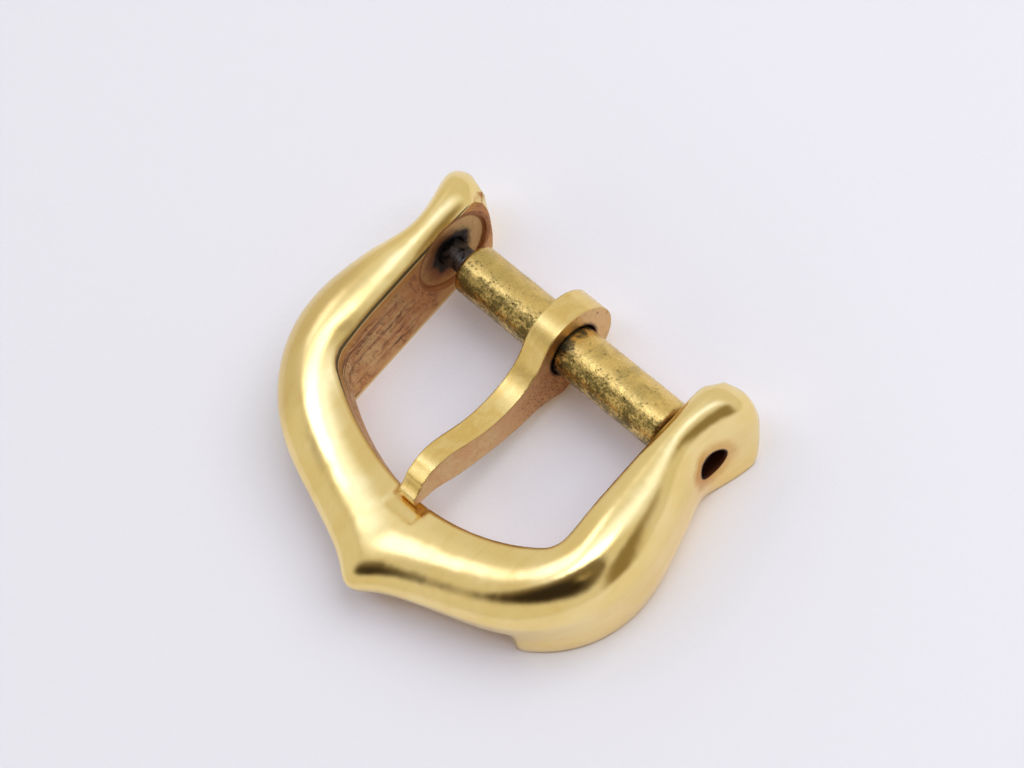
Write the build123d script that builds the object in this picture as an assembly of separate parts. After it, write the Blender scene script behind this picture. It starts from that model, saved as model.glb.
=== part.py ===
"""Cast watch strap buckle: a horseshoe frame, a pin tongue and a telescopic spring bar.

Millimetres. X runs along the bar, Y away from the nose and Z up, away from the wrist.
The origin is on the bar's axis, midway between the legs.
"""

from build123d import *
import math
import os

# Frame, seen from above
strap_gap = 10.4  # clear width between the legs
ear_wall = 1.8  # through an ear at its hole
leg_swell = 0.6  # legs beyond the ears, on each side
nose_reach = 10.45  # bar axis to the tip of the nose
opening_reach = 6.94  # bar axis to the inner edge of the front bar
front_arc_radius = 8.9  # inner edge of the front bar
opening_corner_radius = 0.9
ear_reach = 2.2  # bar axis to the back of the ears

# Frame, seen from the side: heights above and below the bar's axis
leg_top = 1.85  # crest of the legs
nose_top = 0.75  # crest above the nose
leg_drop = 1.85  # flat feet
channel_drop = 0.35  # underside of the front bar, where the strap passes
leg_rise = 1.5  # from the widest level of a leg to its crest
nose_rise = 0.8  # from the widest level of the nose to its crest

# Frame, holes and notch
hole_diameter = 1.1
spot_face_diameter = 3.0
spot_face_depth = 0.12
notch_width = 1.5
notch_depth = 0.12
notch_slope = 15  # degrees, falling towards the opening
notch_corner_radius = 0.3

# Spring bar
barrel_diameter = 1.8
bar_gap = 0.6  # between the barrel's end and the leg, with the bar in the middle
barrel_wall = 0.27
barrel_shift = 0.26  # towards +X, where the bar has slid in its holes
crimp_length = 0.35
crimp_radius = 0.22
pin_seat = 0.8  # pin inside the ear's hole, with the bar in the middle
flange_length = 1.75
pin_chamfer = 0.12
hole_clearance = 0.09  # pin in the ear's hole, on radius
mouth_clearance = 0.04  # pin in the barrel's mouth, on radius
flange_clearance = 0.04  # flange in the barrel's bore, on radius
seat_clearance = 0.02  # flange to crimp and coil to flange

# Coil spring in the barrel
wire_diameter = 0.2
coil_pitch = 0.62
coil_clearance = 0.05  # coil in the barrel's bore, on radius
wire_sides = 8
gap_samples = 24  # points on each turn for measuring the gap between turns

# Tongue
tongue_width = 1.02
tip_width = 0.7
tongue_shift = -0.08  # towards -X, where the tongue has slid on the bar
ring_offset = 0.12  # the ring's rim sits behind its bore
ring_clearance = 0.09  # ring on the barrel, on radius
ring_wall = 0.58
tip_overlap = 0.2  # tip beyond the front bar's inner edge
tip_thickness = 0.3
tip_rounding = 0.22
rest_clearance = 0.12  # tip above the notch's floor

cut_overrun = 0.6  # what a cut passes its faces by

# Rim stations from the nose back to the neck. Across and ahead for the outer edge, across and
# ahead for the inner edge, the climb from the nose's heights to the legs', then how far the
# outer wall leans out towards the feet.
rim_shares = (
    (0.000, 1.000, 0.000, 1.000, 0.00, 0.000),
    (0.085, 0.968, 0.135, 0.995, 0.04, 0.000),
    (0.235, 0.915, 0.337, 0.972, 0.14, 0.010),
    (0.450, 0.860, 0.590, 0.918, 0.32, 0.030),
    (0.650, 0.800, 0.810, 0.835, 0.54, 0.060),
    (0.812, 0.714, 0.940, 0.745, 0.73, 0.060),
    (0.928, 0.600, 1.000, 0.650, 0.87, 0.040),
    (0.987, 0.478, 1.000, 0.555, 0.96, 0.000),
    (0.994, 0.358, 1.000, 0.450, 1.00, -0.045),
    (0.968, 0.250, 1.000, 0.335, 1.00, -0.085),
    (0.932, 0.160, 1.000, 0.225, 1.00, -0.090),
)
# Ear stations from the neck to the rounded end. Across and back for the outer edge and back for
# the inner edge, then what is left of the inner roll, then the crest, the widest level and the
# floor as shares of the height from the rim's lowest level to the legs' crest, then the lean.
ear_shares = (
    (0.971, -0.430, -0.430, 1.00, 1.000, 0.620, 0.000, -0.075),
    (0.943, -0.050, -0.060, 1.00, 1.000, 0.590, 0.000, 0.035),
    (0.965, 0.390, 0.330, 0.98, 1.000, 0.570, 0.010, 0.070),
    (0.988, 0.660, 0.580, 0.90, 0.990, 0.600, 0.200, 0.030),
    (0.982, 0.860, 0.740, 0.70, 0.960, 0.660, 0.440, 0.000),
    (0.942, 0.980, 0.840, 0.45, 0.900, 0.720, 0.610, 0.000),
    (0.880, 1.020, 0.890, 0.22, 0.840, 0.760, 0.700, 0.000),
)
crest_share = 0.40  # of the rim's width, from the inner wall to the crest
roll_share = 1.8  # inner half of the dome over the crest's distance from the wall
wall_power = 4.0  # how square the rim is below its widest level
half_section_steps = 10

# Tongue outline: ahead as shares of the tip's reach, height as shares of the ring's radius.
tongue_top_shares = (
    (0.200, 0.480), (0.275, 0.340), (0.370, 0.280), (0.473, 0.325), (0.575, 0.475),
    (0.664, 0.710), (0.750, 0.915), (0.840, 0.960), (0.920, 0.850),
)
tongue_belly_shares = (
    (0.900, 0.330), (0.805, 0.080), (0.690, -0.200), (0.552, -0.440), (0.414, -0.610),
    (0.283, -0.710), (0.186, -0.920), (0.097, -1.010),
)
crown_turn = 40  # degrees, where the blade's top leaves the ring
heel_turn = 6  # degrees, where the blade's belly leaves the ring
tip_fall = 25  # degrees, the blade's top at its tip

half_gap = strap_gap / 2
half_ear = half_gap + ear_wall
half_frame = half_ear + leg_swell
barrel_length = strap_gap - 2 * bar_gap
plunger_reach = bar_gap + pin_seat
hole_radius = hole_diameter / 2
barrel_radius = barrel_diameter / 2
bore_radius = barrel_radius - barrel_wall
pin_radius = hole_radius - hole_clearance
mouth_radius = pin_radius + mouth_clearance
flange_radius = bore_radius - flange_clearance
wire_radius = wire_diameter / 2
coil_radius = bore_radius - coil_clearance - wire_radius
ring_bore_radius = barrel_radius + ring_clearance
ring_radius = ring_bore_radius + ring_wall
tip_reach = opening_reach + tip_overlap
lowest = -leg_drop - cut_overrun
# The dome meets the inner wall a little below its crest.
wall_rise_share = math.sqrt(1 - 1 / roll_share**2)
notch_floor = nose_top - nose_rise * (1 - wall_rise_share) - notch_depth


def rim_section(inner, outer, roll, crest, widest, floor, lean):
    """Closed cross-section of the rim, upright on the line from inner to outer edge."""
    inner, outer = Vector(*inner), Vector(*outer)
    width = (outer - inner).length
    outward = (outer - inner).normalized()
    half_in = roll * roll_share * crest_share * width
    half_out = (1 - crest_share) * width
    centre = inner + outward * (crest_share * width)
    points = []
    for step in range(2 * half_section_steps + 1):
        angle = math.pi * step / half_section_steps
        across, up = math.cos(angle), math.sin(angle)
        if step > half_section_steps:
            across = math.copysign(abs(across) ** (2 / wall_power), across)
            up = -(abs(up) ** (2 / wall_power))
        out = across * (half_out if across > 0 else half_in)
        if up < 0 and across > 0:
            out += lean * across * up**2
        place = centre + outward * out
        height = widest + up * (crest - widest if up > 0 else widest - floor)
        points.append(Vector(place.X, place.Y, height))
    dome, wall = points[: half_section_steps + 1], points[half_section_steps:-1]
    rising, falling = Vector(0, 0, 1), Vector(0, 0, -1)
    return Wire([
        Spline(*dome, tangents=[rising, falling]),
        Spline(*wall, dome[0], tangents=[falling, rising]),
    ])


def rim_sections():
    """Sections of the rim's right side, from the nose to the end of the ear."""
    sections = []
    for out_across, out_ahead, in_across, in_ahead, climb, lean in rim_shares:
        crest = nose_top + (leg_top - nose_top) * climb
        rise = nose_rise + (leg_rise - nose_rise) * climb
        inner = (half_gap * in_across, -opening_reach * in_ahead)
        outer = (half_frame * out_across, -nose_reach * out_ahead)
        lean *= half_frame
        sections.append(rim_section(inner, outer, 1, crest, crest - rise, lowest, lean))
    height = leg_top - lowest
    for out_across, out_back, in_back, roll, crest, widest, floor, lean in ear_shares:
        inner = (half_gap, ear_reach * in_back)
        outer = (half_ear * out_across, ear_reach * out_back)
        levels = [lowest + height * share for share in (crest, widest, floor)]
        sections.append(rim_section(inner, outer, roll, *levels, lean * half_ear))
    return sections


def rim():
    """The whole cast rim as one flowing solid, before anything is cut from it."""
    right = rim_sections()
    left = [section.mirror(Plane.YZ) for section in right]
    return Part() + Solid.make_loft([*reversed(left), *right[1:]])


def opening():
    """The strap opening, straight between the legs and curved along the front bar."""
    back = ear_reach + cut_overrun
    corner = front_arc_radius - opening_reach - math.sqrt(front_arc_radius**2 - half_gap**2)
    sides = Polyline((half_gap, corner), (half_gap, back), (-half_gap, back), (-half_gap, corner))
    front = ThreePointArc((-half_gap, corner), (0, -opening_reach), (half_gap, corner))
    outline = make_face([sides, front])
    corners = outline.vertices().sort_by(Axis.Y)[:2]
    return extrude(fillet(corners, opening_corner_radius), leg_drop + leg_top, both=True)


def channel():
    """The space under the front bar and below the feet, where the strap lies."""
    depth = leg_drop - channel_drop + cut_overrun
    length = nose_reach + cut_overrun
    under_bar = Pos(0, -length / 2, -channel_drop - depth / 2) * Box(strap_gap, length, depth)
    under_feet = Pos(0, 0, -leg_drop - cut_overrun) * Box(
        2 * half_frame + cut_overrun, 2 * length, 2 * cut_overrun)
    return under_bar + under_feet


def bar_holes():
    """Through holes for the pins, with a shallow round face on the inside of each ear."""
    hole = Rot(0, 90, 0) * Cylinder(hole_radius, 2 * half_ear + cut_overrun)
    face = Rot(0, 90, 0) * Cylinder(spot_face_diameter / 2, strap_gap + 2 * spot_face_depth)
    return hole + face


def notch():
    """The trough across the front bar's inner edge that the tongue's tip lies in."""
    length = tip_overlap + cut_overrun
    height = leg_top
    trough = Plane.XZ * Pos(0, height / 2) * RectangleRounded(
        notch_width, height, notch_corner_radius)
    return Pos(0, -opening_reach, notch_floor) * Rot(-notch_slope, 0, 0) * extrude(
        trough, length, both=True)


def frame():
    return rim() - opening() - channel() - bar_holes() - notch()


def barrel():
    """The bar's tube, its ends turned in to hold the plungers."""
    end, step = barrel_length / 2, barrel_length / 2 - crimp_length
    outline = make_face(Polyline(
        (-end, mouth_radius), (-end, barrel_radius), (end, barrel_radius), (end, mouth_radius),
        (step, mouth_radius), (step, bore_radius), (-step, bore_radius), (-step, mouth_radius),
        close=True))
    rounded = outline.vertices().filter_by(lambda v: v.Y > barrel_radius - crimp_radius)
    return Pos(barrel_shift) * revolve(fillet(rounded, crimp_radius), Axis.X)


def plunger(side):
    """One spring pin: a flange kept inside the barrel and a pin that enters the ear."""
    shoulder = barrel_length / 2 - crimp_length - seat_clearance
    tail, tip = shoulder - flange_length, barrel_length / 2 + plunger_reach
    outline = make_face(Polyline(
        (tail, 0), (tail, flange_radius), (shoulder, flange_radius), (shoulder, pin_radius),
        (tip, pin_radius), (tip, 0), close=True))
    nose = outline.vertices().sort_by(Axis.X)[-2:].sort_by(Axis.Y)[-1]
    body = revolve(chamfer(nose, pin_chamfer), Axis.X)
    if side < 0:
        body = mirror(body, about=Plane.YZ)
    return Pos(barrel_shift) * body


def coil_place(angle, start):
    """Point and direction of the coil's wire after an angle along it."""
    climb = coil_pitch / (2 * math.pi)
    out, round_it = math.cos(angle) * coil_radius, math.sin(angle) * coil_radius
    return Vector(start + climb * angle, out, round_it), Vector(climb, -round_it, out).normalized()


def half_turn(angle, start):
    """Half a turn of the coil as two arcs that meet smoothly."""
    first, leaving = coil_place(angle, start)
    last, arriving = coil_place(angle + math.pi, start)
    span, lean = last - first, leaving + arriving
    spread = 2 * (1 - leaving.dot(arriving))
    reach = (math.sqrt(span.dot(lean) ** 2 + spread * span.dot(span)) - span.dot(lean)) / spread
    middle = (first + last + (leaving - arriving) * reach) / 2
    passing = span - lean * reach
    return [
        TangentArc(first, middle, tangent=leaving), TangentArc(middle, last, tangent=passing)]


def least_gap(arcs):
    """Least distance between neighbouring turns, measured on points of the wire."""
    samples = gap_samples // 4
    points = [arc @ (step / samples) for arc in arcs for step in range(samples)]
    apart = [
        (far - near).length
        for place, near in enumerate(points)
        for far in points[place + gap_samples // 2: place + 2 * gap_samples]
    ]
    return min(apart) - wire_diameter


def coil_spring():
    """The coil between the two flanges."""
    seat = barrel_length / 2 - crimp_length - flange_length - 2 * seat_clearance - wire_radius
    half_turns = int(4 * seat / coil_pitch)
    start = -half_turns * coil_pitch / 4
    arcs = []
    for turn in range(half_turns):
        arcs += half_turn(turn * math.pi, start)
    path = Wire(arcs)
    section = Plane(origin=path @ 0, z_dir=path % 0) * RegularPolygon(wire_radius, wire_sides)
    print(f"coil: {half_turns / 2} turns, least gap {least_gap(arcs):.3f} mm")
    return Pos(barrel_shift) * sweep(section, path=path)


def ring_place(turn):
    """Point and direction on the ring's rim, in degrees ahead of its top."""
    angle = math.radians(turn)
    out = Vector(-math.sin(angle), math.cos(angle))
    along = Vector(-math.cos(angle), -math.sin(angle))
    return Vector(ring_offset, 0) + out * ring_radius, along


def tongue_outline():
    """Side view of the tongue ahead of its ring, drawn ahead and up."""
    floor = notch_floor + rest_clearance
    rise = math.radians(notch_slope)
    landing = Vector(-opening_reach, floor)
    tip_low = landing + Vector(-tip_overlap, tip_overlap * math.tan(rise))
    tip_high = tip_low + Vector(0, tip_thickness)
    top = [Vector(-tip_reach * ahead, ring_radius * up) for ahead, up in tongue_top_shares]
    belly = [Vector(-tip_reach * ahead, ring_radius * up) for ahead, up in tongue_belly_shares]
    crown, leaving = ring_place(crown_turn)
    heel, arriving = ring_place(180 - heel_turn)
    fall = math.radians(tip_fall)
    falling = Vector(-math.cos(fall), -math.sin(fall))
    easing = Vector(math.cos(rise), -math.sin(rise))
    upper = Spline(crown, *top, tip_high, tangents=[leaving, falling])
    lower = Spline(landing, *belly, heel, tangents=[easing, -arriving])
    return make_face([
        upper, Line(tip_high, tip_low), Line(tip_low, landing), lower, Line(heel, crown)])


def tongue_plan():
    """Plan view of the tongue, narrowing evenly from behind the ring to the tip."""
    back = ring_radius + ring_offset
    half_ring, half_tip = tongue_width / 2, tip_width / 2
    return make_face(Polyline(
        (-half_ring, back), (half_ring, back), (half_tip, -tip_reach), (-half_tip, -tip_reach),
        close=True))


def tongue():
    """The pin tongue: a closed ring on the barrel and a curved blade."""
    side = tongue_outline() + Pos(ring_offset) * Circle(ring_radius)
    blade = extrude(Plane.YZ * side, tongue_width / 2, both=True)
    blade &= extrude(tongue_plan(), ring_radius + cut_overrun, both=True)
    tip = blade.edges().filter_by(Axis.X).sort_by(Axis.Y)[:2].sort_by(Axis.Z)[-1]
    blade = fillet(tip, tip_rounding)
    bore = Rot(0, 90, 0) * Cylinder(ring_bore_radius, tongue_width + cut_overrun)
    return Pos(tongue_shift) * (blade - bore)


parts = {
    "frame": frame(),
    "tongue": tongue(),
    "barrel": barrel(),
    "left_plunger": plunger(-1),
    "right_plunger": plunger(1),
    "coil_spring": coil_spring(),
}
os.makedirs("parts", exist_ok=True)
for name, part in parts.items():
    export_step(part, f"parts/{name}.step")
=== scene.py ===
import math

import bpy
from mathutils import Euler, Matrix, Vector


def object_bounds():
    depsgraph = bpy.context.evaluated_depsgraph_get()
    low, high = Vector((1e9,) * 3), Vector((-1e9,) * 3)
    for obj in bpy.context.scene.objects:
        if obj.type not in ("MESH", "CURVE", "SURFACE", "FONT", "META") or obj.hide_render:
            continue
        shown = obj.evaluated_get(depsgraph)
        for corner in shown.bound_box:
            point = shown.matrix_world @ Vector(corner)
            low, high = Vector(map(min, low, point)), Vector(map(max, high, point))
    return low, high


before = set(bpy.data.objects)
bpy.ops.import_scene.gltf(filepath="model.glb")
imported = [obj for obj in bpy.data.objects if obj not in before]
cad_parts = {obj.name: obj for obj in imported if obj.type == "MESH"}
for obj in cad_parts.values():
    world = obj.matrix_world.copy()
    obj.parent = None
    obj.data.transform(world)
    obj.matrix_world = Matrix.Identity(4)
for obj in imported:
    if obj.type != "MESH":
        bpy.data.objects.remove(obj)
cad_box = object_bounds()

# Linear colours of the metals, their tarnish, dirt and painted shade, and the paper with painted light from
# the gold
gold = (0.92, 0.70, 0.28)
pale_gold = (0.95, 0.75, 0.34)
deep_gold = (0.82, 0.55, 0.16)
satin_gold = (0.86, 0.61, 0.20)
dull_gold = (0.75, 0.55, 0.21)
brass = (0.62, 0.45, 0.15)
orange = (0.66, 0.33, 0.07)
copper = (0.62, 0.29, 0.10)
pink_copper = (0.71, 0.40, 0.16)
rust = (0.30, 0.11, 0.04)
deep_rust = (0.11, 0.035, 0.015)
tan = (0.76, 0.51, 0.22)
olive = (0.14, 0.11, 0.035)
green_black = (0.045, 0.055, 0.040)
dirt_and_shade_black = (0.016, 0.013, 0.011)
steel = (0.36, 0.35, 0.34)
dark_steel = (0.16, 0.15, 0.14)
paper = (0.77, 0.755, 0.775)
shaded_paper = tuple(0.985 * value for value in paper)
gold_lit_paper = (0.94, 0.86, 0.83)

# Places and sizes on the buckle in millimetres: x along the bar, y back and z up from its middle
metre = 1000
leg_wall = 5.2  # x of the strap opening's side walls
opening_middle = -2.5  # y of the strap opening's middle
front_wall_centre = 1.96  # y that the opening's front wall turns about
front_wall_radius = 8.9
dome_edge = 1.597  # z of the edge between walls and dome, beside the ears
edge_bend = -3.2  # y from which that edge drops towards the nose
bend_power, bend_rate = 1.75, 0.085
feet = -1.85  # z of the flat feet
hole_radius = 0.55  # pin hole
face_radius = 1.5  # shallow round face about the pin hole
bore_radius = 1.0  # hole of the tongue's ring
heel_y, heel_z = -1.6, -1.0  # lower corner where the tongue's ring meets its blade
tip_start, tip_end = -6.1, -8.0  # y of the tongue's curled tip


class Nodes:
    """Short calls for the shader nodes of one material or world."""

    # Where the Mix node keeps its two inputs and its result
    mix_sockets = {"FLOAT": (2, 3, 0), "RGBA": (6, 7, 2)}

    def __init__(self, tree):
        self.tree = tree
        tree.nodes.clear()

    def add(self, kind, **settings):
        node = self.tree.nodes.new("ShaderNode" + kind)
        for name, value in settings.items():
            setattr(node, name, value)
        return node

    def plug(self, value, socket):
        if hasattr(value, "is_output"):
            self.tree.links.new(value, socket)
        elif isinstance(value, tuple) and len(socket.default_value) == 4:
            socket.default_value = (*value, 1)
        else:
            socket.default_value = value

    def millimetres(self, stretch=(1, 1, 1)):
        """The point on the piece, in millimetres, squeezed along some axes."""
        mapping = self.add("Mapping")
        mapping.inputs["Scale"].default_value = [metre * size for size in stretch]
        self.plug(self.add("TexCoord").outputs["Object"], mapping.inputs["Vector"])
        return mapping.outputs["Vector"]

    def split(self, vector):
        node = self.add("SeparateXYZ")
        self.plug(vector, node.inputs[0])
        return node.outputs

    def facing(self):
        """How far the surface faces right, back and up."""
        return self.split(self.add("TexCoord").outputs["Normal"])

    def math(self, operation, total, *values):
        """The first value with each of the others put to it in turn."""
        for value in values or (0,):
            node = self.add("Math", operation=operation)
            self.plug(total, node.inputs[0])
            self.plug(value, node.inputs[1])
            total = node.outputs[0]
        return total

    def plus(self, *values):
        return self.math("ADD", *values)

    def minus(self, *values):
        return self.math("SUBTRACT", *values)

    def times(self, first, *others):
        return self.math("MULTIPLY", first, *others) if others else first

    def size(self, value):
        return self.math("ABSOLUTE", value)

    def distance(self, one, two):
        """Length of the vector with two given components."""
        return self.math("SQRT", self.plus(self.times(one, one), self.times(two, two)))

    def band(self, value, start, end):
        """0 at start, 1 at end and smooth between."""
        node = self.add("MapRange", interpolation_type="SMOOTHSTEP")
        self.plug(value, node.inputs["Value"])
        node.inputs["From Min"].default_value = start
        node.inputs["From Max"].default_value = end
        return node.outputs["Result"]

    def stripe(self, value, start, end, soft):
        """1 between start and end, fading over soft on both sides."""
        return self.times(self.band(value, start - soft, start), self.band(value, end + soft, end))

    def scale(self, value, low, high):
        """A 0 to 1 value spread from low to high."""
        node = self.add("MapRange")
        self.plug(value, node.inputs["Value"])
        node.inputs["To Min"].default_value = low
        node.inputs["To Max"].default_value = high
        return node.outputs["Result"]

    def noise(self, vector, density, detail, rough=0.55, twist=0.0):
        """Noise with about so many blotches in a millimetre."""
        node = self.add("TexNoise")
        self.plug(vector, node.inputs["Vector"])
        node.inputs["Scale"].default_value = density
        node.inputs["Detail"].default_value = detail
        node.inputs["Roughness"].default_value = rough
        node.inputs["Distortion"].default_value = twist
        return node.outputs["Fac"]

    def mix(self, kind, factor, under, over):
        node = self.add("Mix", data_type=kind)
        low, high, result = self.mix_sockets[kind]
        self.plug(factor, node.inputs["Factor"])
        self.plug(under, node.inputs[low])
        self.plug(over, node.inputs[high])
        return node.outputs[result]

    def fade(self, factor, under, over):
        """A number that goes from under to over as the factor goes from 0 to 1."""
        return self.mix("FLOAT", factor, under, over)

    def blend(self, factor, under, over):
        """The same for colours."""
        return self.mix("RGBA", factor, under, over)

    def coats(self, colour, *layers):
        """A colour with others over it, each as strong as the product of its masks."""
        for over, *masks in layers:
            colour = self.blend(self.times(*masks), colour, over)
        return colour


def material(name, metallic=1.0):
    mat = bpy.data.materials.new(name)
    mat.use_nodes = True
    nodes = Nodes(mat.node_tree)
    shader = nodes.add("BsdfPrincipled")
    shader.inputs["Metallic"].default_value = metallic
    nodes.plug(shader.outputs["BSDF"], nodes.add("OutputMaterial").inputs["Surface"])
    return mat, nodes, shader


def dress(nodes, shader, colour, rough, height, relief, rounding=0):
    """Colour, roughness and bump; relief and the rounding of sharp edges in millimetres."""
    nodes.plug(colour, shader.inputs["Base Color"])
    nodes.plug(rough, shader.inputs["Roughness"])
    bump = nodes.add("Bump")
    bump.inputs["Strength"].default_value = 1
    bump.inputs["Distance"].default_value = relief / metre
    nodes.plug(height, bump.inputs["Height"])
    if rounding:
        bevel = nodes.add("Bevel", samples=6)
        bevel.inputs["Radius"].default_value = rounding / metre
        nodes.plug(bevel.outputs["Normal"], bump.inputs["Normal"])
    nodes.plug(bump.outputs["Normal"], shader.inputs["Normal"])


def assign(node, mat):
    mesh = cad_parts[node].data
    mesh.materials.clear()
    mesh.materials.append(mat)


# Cast frame: polished outside, worn to a coppery skin inside the legs
def frame_gold():
    mat, nodes, shader = material("frame_gold")
    band, stripe, times, scale = nodes.band, nodes.stripe, nodes.times, nodes.scale
    place = nodes.millimetres()
    x, y, z = nodes.split(place)
    right, back, up = nodes.facing()
    outwards = nodes.size(x)
    from_axis = nodes.distance(y, z)
    clouds = nodes.noise(place, 0.55, 3)
    blotches = nodes.noise(place, 1.5, 5, 0.65, 0.4)
    specks = band(nodes.noise(place, 6.5, 3, 0.7), 0.60, 0.70)
    brushed = nodes.noise(nodes.millimetres((1, 0.16, 1)), 2.4, 4, 0.6)
    lines = nodes.noise(nodes.millimetres((1, 0.16, 1.5)), 3.2, 5, 0.7, 0.5)
    scratches = nodes.noise(nodes.millimetres((1, 1, 0.6)), 3.6, 6, 0.8, 1.4)

    # Polish, rubbed duller on the left leg
    left_leg = band(x, -4.6, -5.7)
    before_ear = band(y, -1.4, -3.2)
    rubbed = times(left_leg, before_ear, scale(brushed, 0.6, 1.2))
    colour = nodes.coats(
        nodes.blend(band(clouds, 0.35, 0.65), gold, pale_gold),
        (deep_gold, band(brushed, 0.45, 0.75), 0.25),
        (dull_gold, rubbed, 0.9))
    rough = nodes.plus(scale(brushed, 0.08, 0.15), times(rubbed, 0.10))

    # Walls of the strap opening: what stands upright, looks to its middle and is between the ears
    from_middle = nodes.plus(times(right, x), times(back, nodes.minus(y, opening_middle)))
    facing_in = band(from_middle, -0.8, -2.0)
    upright = band(nodes.size(up), 0.55, 0.35)
    between_ears = band(outwards, leg_wall + 0.25, leg_wall + 0.2)
    wall = times(facing_in, upright, between_ears)

    # Their skin: copper, with rust and tan in scratches and in lines along the leg
    near_ear = band(y, -3.6, -1.2)
    far_from_ear = band(y, -2.0, -4.0)
    along_leg = band(y, -1.6, -3.2)
    low = band(z, -0.7, -1.6)
    skin = nodes.coats(
        nodes.blend(band(blotches, 0.38, 0.62), copper, nodes.blend(near_ear, tan, copper)),
        (rust, band(scratches, 0.47, 0.62), 0.85),
        (tan, band(blotches, 0.52, 0.66), far_from_ear, 0.6),
        (pink_copper, low, band(blotches, 0.4, 0.6)),
        (deep_rust, band(lines, 0.54, 0.62), along_leg, 0.85),
        (tan, band(lines, 0.46, 0.40), along_leg, 0.55))

    # Lines at some depths under the edge of the dome, which drops towards the nose; the olive line just
    # under the edge is painted shade
    past_bend = nodes.math("MAXIMUM", nodes.minus(edge_bend, y), 0)
    edge_drop = times(nodes.math("POWER", past_bend, bend_power), bend_rate)
    depth = nodes.minus(dome_edge, nodes.plus(z, edge_drop))
    wavy_depth = nodes.plus(depth, scale(clouds, -0.25, 0.25))
    skin = nodes.coats(
        skin,
        (rust, stripe(wavy_depth, 0.86, 0.90, 0.05), band(y, -2.2, -3.4)),
        (orange, stripe(depth, 0.22, 0.5, 0.12), scale(scratches, 0.4, 1.1)),
        (olive, stripe(depth, 0.0, 0.18, 0.05)),
        (gold, stripe(depth, 0.21, 0.24, 0.03)))

    # Tan round face with a rusty rim, a dark ring of dirt and painted shadow from the bar's end about the
    # pin hole, and the bright edge at the feet
    ragged = nodes.plus(from_axis, scale(blotches, -0.3, 0.3))
    behind = band(y, 0.1, 0.7)
    outer_rim = stripe(from_axis, face_radius - 0.06, face_radius + 0.10, 0.08)
    inner_rim = stripe(from_axis, face_radius - 0.08, face_radius + 0.02, 0.05)
    skin = nodes.coats(
        skin,
        (tan, band(ragged, face_radius + 0.12, face_radius - 0.05), nodes.fade(behind, 0.45, 0.95)),
        (rust, outer_rim, behind, band(scratches, 0.35, 0.5)),
        (rust, inner_rim, 0.8),
        (rust, band(ragged, hole_radius + 0.80, hole_radius + 0.40), nodes.fade(behind, 0.85, 0.2)),
        # Dirt and painted shadow from the bar's end: a dark ring about the pin hole
        (dirt_and_shade_black, band(ragged, hole_radius + 0.47, hole_radius + 0.15)),
        (pale_gold, band(z, feet + 0.19, feet + 0.05)))
    colour = nodes.blend(wall, colour, skin)
    rough = nodes.fade(wall, rough, scale(scratches, 0.25, 0.55))

    # The round face's small step, which doesn't look to the middle: rust and copper, with painted shade
    # that keeps its edge dark
    step_rust_and_shade = times(
        stripe(from_axis, face_radius - 0.08, face_radius + 0.06, 0.04),
        stripe(outwards, leg_wall - 0.04, leg_wall + 0.18, 0.04))
    colour = nodes.blend(step_rust_and_shade, colour, nodes.blend(scratches, rust, copper))
    rough = nodes.fade(step_rust_and_shade, rough, 0.5)

    # Underside
    under = band(up, -0.5, -0.85)
    colour = nodes.blend(under, colour, nodes.blend(blotches, copper, deep_gold))
    rough = nodes.fade(under, rough, 0.38)

    # Inner edge of the front bar, painted warm shadow in the notch under the tongue's tip, a halo at each
    # hole's outer end
    to_front_wall = nodes.minus(front_wall_radius, nodes.distance(x, nodes.minus(y, front_wall_centre)))
    front_edge = times(band(nodes.size(to_front_wall), 0.14, 0.04), band(y, -5.6, -6.2))
    shadow_under_tip = times(band(outwards, 0.62, 0.40), band(y, -7.45, -7.15), band(y, -6.0, -6.3))
    outer_end = band(outwards, leg_wall + 0.8, leg_wall + 1.1)
    halo = times(band(ragged, hole_radius + 0.60, hole_radius + 0.15), outer_end)
    colour = nodes.coats(
        colour,
        (orange, front_edge, 0.5),
        (nodes.blend(band(back, 0.3, 0.7), orange, rust), shadow_under_tip, 0.7),
        (orange, halo, nodes.fade(band(y, 0.2, -0.5), 0.6, 1.0)))

    # Dirt and painted shade in the pin holes, black above and rusty brown below
    hole_dirt_and_shade = times(band(from_axis, hole_radius + 0.09, hole_radius), band(outwards, leg_wall, leg_wall + 0.1))
    colour = nodes.blend(hole_dirt_and_shade, colour, nodes.blend(band(z, 0.0, -0.5), dirt_and_shade_black, deep_rust))
    rough = nodes.fade(hole_dirt_and_shade, rough, 0.6)

    cast = nodes.plus(times(clouds, 0.04), times(brushed, 0.006))
    pitted = nodes.plus(times(scratches, 1.3), times(specks, -0.3), times(lines, -1.6))
    height = nodes.plus(cast, times(pitted, nodes.fade(wall, 0.01, 1.0)))
    dress(nodes, shader, colour, rough, height, relief=0.05, rounding=0.25)
    return mat
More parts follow.
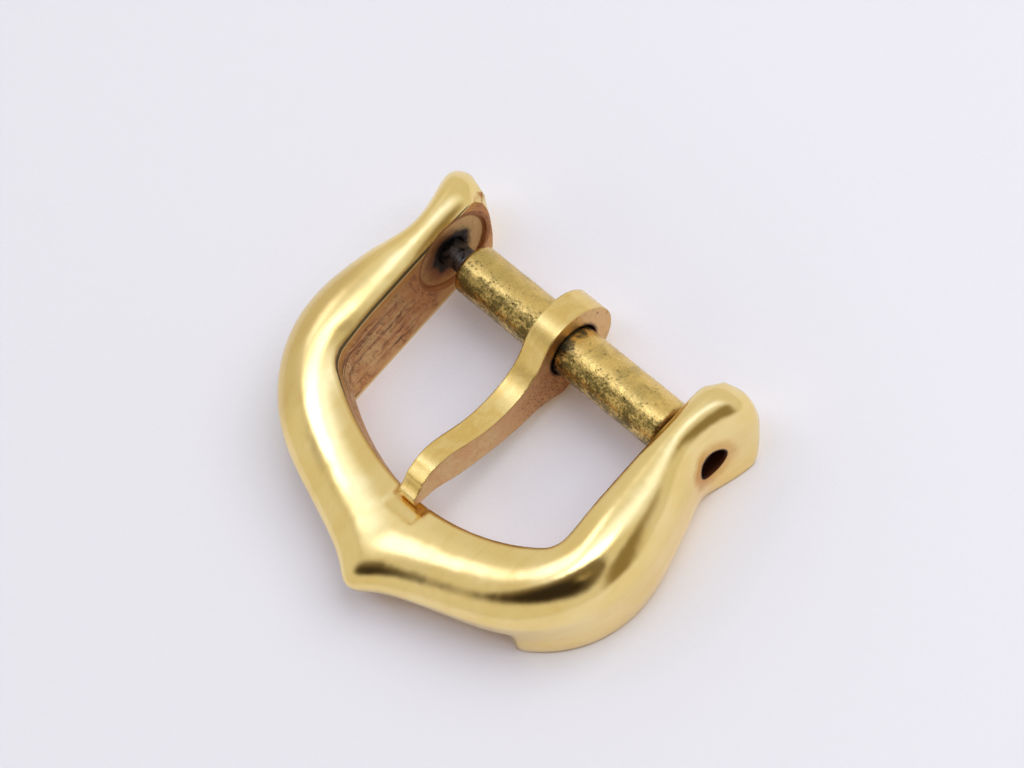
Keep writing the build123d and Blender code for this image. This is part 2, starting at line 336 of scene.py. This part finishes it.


# Tongue: satin top with a painted highlight on the tip's curl, coppery cheeks, tarnish where its ring turns
# on the bar, and dirt and painted shade in the ring's bore
def tongue_gold():
    mat, nodes, shader = material("tongue_gold")
    band, times, scale = nodes.band, nodes.times, nodes.scale
    place = nodes.millimetres()
    y, z = nodes.split(place)[1:]
    right = nodes.facing()[0]
    blotches = nodes.noise(place, 1.3, 5, 0.65, 0.5)
    grain = nodes.noise(place, 11, 4, 0.7)
    specks = band(nodes.noise(place, 8, 3, 0.75), 0.56, 0.66)
    brushed = nodes.noise(nodes.millimetres((1, 0.12, 0.3)), 5, 4, 0.6)

    # Painted highlight: pale gold on the low part of the tip's end, for its bright curl
    tip_highlight = times(band(z, 0.2, -0.4), band(y, -6.3, -6.9))
    top = nodes.coats(
        nodes.blend(band(blotches, 0.38, 0.62), satin_gold, gold),
        (deep_gold, band(brushed, 0.45, 0.75), 0.6),
        (pale_gold, tip_highlight))
    near_tip = band(y, -1.5, -4.5)
    near_heel = band(nodes.distance(nodes.minus(y, heel_y), nodes.minus(z, heel_z)), 1.9, 0.5)
    skin = nodes.coats(
        nodes.blend(band(blotches, 0.4, 0.6), nodes.blend(near_tip, copper, tan), pink_copper),
        (rust, band(grain, 0.5, 0.62), nodes.fade(near_heel, 0.15, 0.8)),
        (deep_rust, near_heel, specks),
        (tan, band(y, -0.4, 0.6), 0.8),
        (olive, specks, band(y, 0.0, 0.8), 0.7))
    cheek = band(nodes.size(right), 0.6, 0.9)
    # Dirt and painted shade in the ring's bore
    bore_dirt_and_shade = band(nodes.distance(y, z), bore_radius + 0.12, bore_radius)
    colour = nodes.coats(top, (skin, cheek), (nodes.blend(blotches, dirt_and_shade_black, rust), bore_dirt_and_shade))
    rough = nodes.fade(cheek, scale(brushed, 0.18, 0.34), scale(grain, 0.26, 0.46))

    # A rise towards the tip's end turns its shading flat, for the bright curl in the photograph
    tip_rise = times(band(y, tip_start, tip_end), 11)
    cheek_grain = times(grain, nodes.fade(cheek, 0.02, 0.4))
    height = nodes.plus(times(brushed, 0.015), times(blotches, 0.2), cheek_grain, tip_rise)
    dress(nodes, shader, colour, rough, height, relief=0.04, rounding=0.10)
    return mat


# Barrel of the bar: worn plating, duller on the left, with olive, coppery and dark tarnish
def barrel_gold():
    mat, nodes, shader = material("barrel_gold")
    band, times, scale = nodes.band, nodes.times, nodes.scale
    place = nodes.millimetres()
    x = nodes.split(place)[0]
    back, up = nodes.facing()[1:]
    blotches = nodes.noise(place, 1.25, 6, 0.7, 0.6)
    patches = nodes.noise(nodes.millimetres((0.7, 1, 1)), 2.6, 6, 0.72, 0.3)
    grain = nodes.noise(place, 12, 5, 0.8)

    left_half = band(x, 0.0, -3.0)
    beside_ring = nodes.stripe(x, 0.40, 0.62, 0.35)
    front = band(back, 0.25, -0.55)
    low_edge = band(up, 0.30, -0.30)
    mottle = nodes.plus(times(patches, 0.5), times(grain, 0.5))
    tarnish = nodes.minus(nodes.plus(mottle, scale(front, -0.09, 0.03)), scale(low_edge, 0, 0.03))
    pits = times(band(grain, 0.57, 0.66), band(patches, 0.40, 0.55))
    colour = nodes.coats(
        nodes.blend(band(blotches, 0.42, 0.66), satin_gold, brass),
        (brass, left_half, 0.45),
        (copper, low_edge, band(patches, 0.35, 0.6), 0.8),
        (olive, band(tarnish, 0.45, 0.57), 0.9),
        (green_black, beside_ring, band(patches, 0.38, 0.55), 0.85),
        (dirt_and_shade_black, pits, 0.85))
    rough = nodes.fade(band(patches, 0.4, 0.6), 0.22, 0.42)
    height = nodes.plus(nodes.minus(times(blotches, 0.5), times(pits, 0.12)), times(grain, 0.10))
    dress(nodes, shader, colour, rough, height, relief=0.06, rounding=0.08)
    return mat


# Pins and coil: steel with dirt on it
def worn_steel(name, tint, smoothest, roughest):
    mat, nodes, shader = material(name)
    place = nodes.millimetres()
    blotches = nodes.noise(place, 3, 5, 0.65)
    grain = nodes.noise(place, 14, 4, 0.7)
    colour = nodes.blend(nodes.band(blotches, 0.45, 0.65), tint, dirt_and_shade_black)
    dress(nodes, shader, colour, nodes.scale(blotches, smoothest, roughest), grain, relief=0.008)
    return mat


assign("frame", frame_gold())
assign("tongue", tongue_gold())
assign("barrel", barrel_gold())
pin_steel = worn_steel("pin_steel", dark_steel, 0.3, 0.55)
assign("left_plunger", pin_steel)
assign("right_plunger", pin_steel)
assign("coil_spring", worn_steel("coil_steel", steel, 0.22, 0.4))


# Paper floor, painted warmer and lighter close to the buckle, as light thrown on it by the gold
def floor_paper():
    mat, nodes, shader = material("floor_paper", metallic=0.0)
    place = nodes.millimetres()
    openness = nodes.add("AmbientOcclusion", samples=8)
    openness.inputs["Distance"].default_value = 3 / metre
    away = nodes.band(openness.outputs["AO"], 0.2, 0.85)
    plain = nodes.blend(nodes.noise(place, 0.03, 2), paper, shaded_paper)
    colour = nodes.blend(away, gold_lit_paper, plain)
    dress(nodes, shader, colour, 0.8, nodes.noise(place, 4, 3), relief=0.01)
    return mat


floor_half = 1.0
floor_gap = 0.01 / metre  # below the feet
floor_mesh = bpy.data.meshes.new("floor")
corners = [(x * floor_half, y * floor_half, 0) for x, y in ((-1, -1), (1, -1), (1, 1), (-1, 1))]
floor_mesh.from_pydata(corners, [], [(0, 1, 2, 3)])
floor = bpy.data.objects.new("floor", floor_mesh)
floor.location.z = cad_box[0][2] - floor_gap
bpy.context.collection.objects.link(floor)
floor_mesh.materials.append(floor_paper())

# Studio: pale walls, soft lights overhead and at the left, and a dark gap. A place in the
# surroundings is given in plan: how far right and how far back its ray points. Each patch has
# its centre, its half length and half width, its turn in degrees, its softness and its colour,
# and covers those above it in the list.
walls = (0.72, 0.69, 0.64)
studio = {
    "pale side": ((-0.55, 0.06), (0.20, 0.24), 0, 0.6, (0.83, 0.83, 0.85)),
    "glow": ((-0.03, 0.07), (0.55, 0.17), 30, 0.8, (1.12, 1.25, 1.65)),
    "middle of the glow": ((0.0, 0.09), (0.40, 0.07), 30, 0.6, (1.3, 1.42, 1.95)),
    "left light": ((-0.57, -0.10), (0.15, 0.08), -45, 0.5, (2.0, 2.1, 2.7)),
    "overhead light": ((-0.08, -0.15), (0.25, 0.12), 27, 0.45, (4.0, 4.1, 4.6)),
    "edge of the left light": ((-0.49, -0.34), (0.16, 0.035), -56, 0.5, (0.66, 0.62, 0.56)),
    "dark gap": ((0.19, -0.485), (0.59, 0.31), 12, 0.12, (0.18, 0.14, 0.09)),
    "darkest of the gap": ((0.18, -0.58), (0.50, 0.19), 9, 0.3, (0.03, 0.022, 0.015)),
    "dark edge at the right": ((0.85, 0.0), (0.36, 0.17), 115, 0.4, (0.27, 0.21, 0.11)),
    "pale spot in the gap": ((0.34, -0.38), (0.12, 0.03), 10, 0.5, (0.5, 0.42, 0.25)),
}


def oval(nodes, ray, centre, half, turn, soft):
    """1 inside a turned oval, above the horizon alone."""
    right, back, up = nodes.split(ray)
    cos, sin = math.cos(math.radians(turn)), math.sin(math.radians(turn))
    from_x = nodes.minus(right, centre[0])
    from_y = nodes.minus(back, centre[1])
    long_way = nodes.plus(nodes.times(from_x, cos / half[0]), nodes.times(from_y, sin / half[0]))
    short_way = nodes.minus(nodes.times(from_y, cos / half[1]), nodes.times(from_x, sin / half[1]))
    inside = nodes.band(nodes.distance(long_way, short_way), 1 + soft, 1 - soft)
    return nodes.times(inside, nodes.band(up, 0.0, 0.1))


world = bpy.data.worlds.new("studio")
world.use_nodes = True
bpy.context.scene.world = world
nodes = Nodes(world.node_tree)
ray = nodes.add("TexCoord").outputs["Generated"]
light = walls
for *shape, colour in studio.values():
    light = nodes.blend(oval(nodes, ray, *shape), light, colour)
background = nodes.add("Background")
nodes.plug(light, background.inputs["Color"])
background.inputs["Strength"].default_value = 1
nodes.plug(background.outputs[0], nodes.add("OutputWorld").inputs["Surface"])

# A soft lamp behind and to the right, for the shadows on the floor. Reflections don't show it.
lamp_data = bpy.data.lights.new("window", "AREA")
lamp_data.size = 0.2
lamp_data.color = (0.94, 0.98, 1.06)
lamp_data.energy = 0.37
lamp = bpy.data.objects.new("window", lamp_data)
lamp.location = (0.07, 0.12, 0.22)
lamp.rotation_euler = (-lamp.location).to_track_quat("-Z", "Y").to_euler()
lamp.visible_glossy = False
bpy.context.collection.objects.link(lamp)

# Camera at the photograph's place, fitted to the buckle's straight edges
camera_turns = (21.0762, 15.8647, 43.8971)
camera = bpy.data.cameras.new("camera")
camera.lens = 109.45
camera.sensor_width = 36
camera.clip_start = 0.001
view = bpy.data.objects.new("camera", camera)
view.location = (0.042945, -0.010349, 0.089851)
view.rotation_euler = Euler([math.radians(turn) for turn in camera_turns], "XYZ")
bpy.context.collection.objects.link(view)
bpy.context.scene.camera = view

bpy.context.scene.view_settings.view_transform = "Standard"
